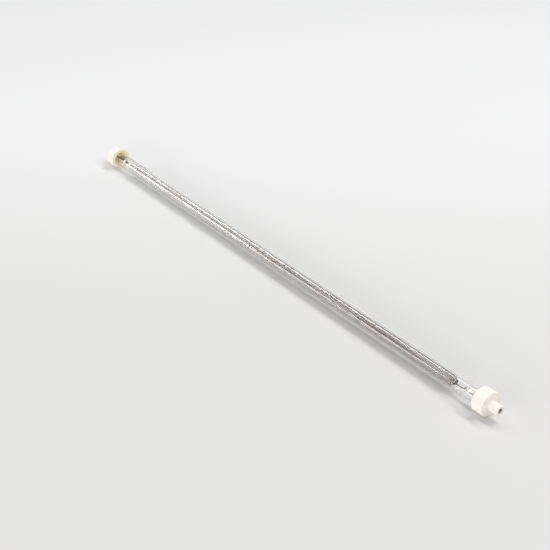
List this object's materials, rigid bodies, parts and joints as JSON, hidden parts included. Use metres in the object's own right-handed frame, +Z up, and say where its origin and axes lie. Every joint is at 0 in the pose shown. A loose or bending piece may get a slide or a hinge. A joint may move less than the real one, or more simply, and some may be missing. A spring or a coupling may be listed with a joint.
{
  "type": "quartz heating tube",
  "caption": "Straight clear quartz tube with a coiled resistance wire inside and a stepped ceramic cap with a terminal on each end, for a radiant heater.",
  "frame": {"origin": "middle of the object, on the tube's axis, half way between the two nipple tips", "axes": "+X along the tube to the right end, +Z up; the coil lies on the bottom of the tube's bore, towards -Z"},
  "size_m": [0.523, 0.019, 0.019],
  "materials": {
    "quartz": "clear, fire bright",
    "resistance_wire": "dull oxidised nickel chromium",
    "steatite": "cream, unglazed, warmer towards the tube",
    "terminal_metal": "plated, browned by heat",
    "sleeve_metal": "bright, straw to brown heat tint"
  },
  "bodies": {
    "root": {"quartz_tube": "quartz", "heating_coil": "resistance_wire", "right_end_cap": "steatite", "left_end_cap": "steatite", "right_terminal": "terminal_metal", "left_terminal": "terminal_metal", "right_crimp_sleeve": "sleeve_metal", "left_crimp_sleeve": "sleeve_metal"}
  },
  "joints": []
}
